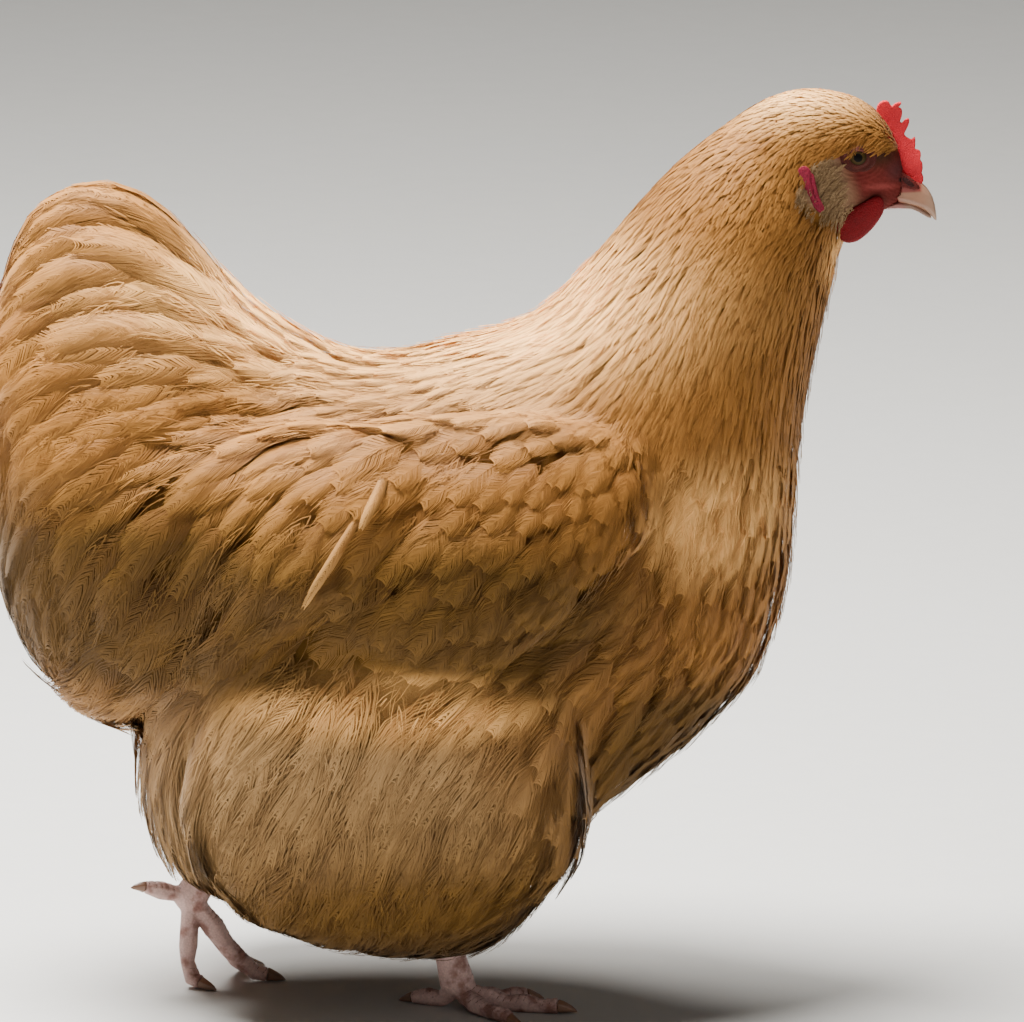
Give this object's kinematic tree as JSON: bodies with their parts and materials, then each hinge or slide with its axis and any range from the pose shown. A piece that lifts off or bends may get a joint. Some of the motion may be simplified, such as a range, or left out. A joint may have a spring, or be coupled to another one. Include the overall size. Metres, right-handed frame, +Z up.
{
  "type": "hen",
  "caption": "Life-size still model of a buff hen in mid-step, with full soft plumage, a small red single comb, wattles and scaly feet.",
  "frame": {"origin": "on the floor, under the middle of the model's bounding box", "axes": "+X the way the hen looks, +Y its left side, +Z up"},
  "size_m": [0.4649, 0.2498, 0.4505],
  "materials": {
    "plumage": "soft, matte feathers",
    "hackle": "soft feathers with a slight sheen",
    "down": "fluffy, matte",
    "red_skin": "pebbled, slightly waxy",
    "horn": "smooth horn",
    "scaly_skin": "overlapping scales, dull",
    "eye": "wet gloss"
  },
  "bodies": {
    "root": {"trunk": "plumage", "neck": "hackle", "head": "hackle", "tail": "plumage", "wing_left": "plumage", "saddle_left": "plumage", "thigh_left": "down", "shank_left": "scaly_skin", "foot_left": "scaly_skin", "claw_inner_left": "horn", "claw_middle_left": "horn", "claw_outer_left": "horn", "claw_hind_left": "horn", "eye_left": "eye", "wattle_left": "red_skin", "earlobe_left": "red_skin", "wing_right": "plumage", "saddle_right": "plumage", "thigh_right": "down", "shank_right": "scaly_skin", "foot_right": "scaly_skin", "claw_inner_right": "horn", "claw_middle_right": "horn", "claw_outer_right": "horn", "claw_hind_right": "horn", "eye_right": "eye", "wattle_right": "red_skin", "earlobe_right": "red_skin", "bill_upper": "horn", "bill_lower": "horn", "comb": "red_skin"}
  },
  "joints": []
}
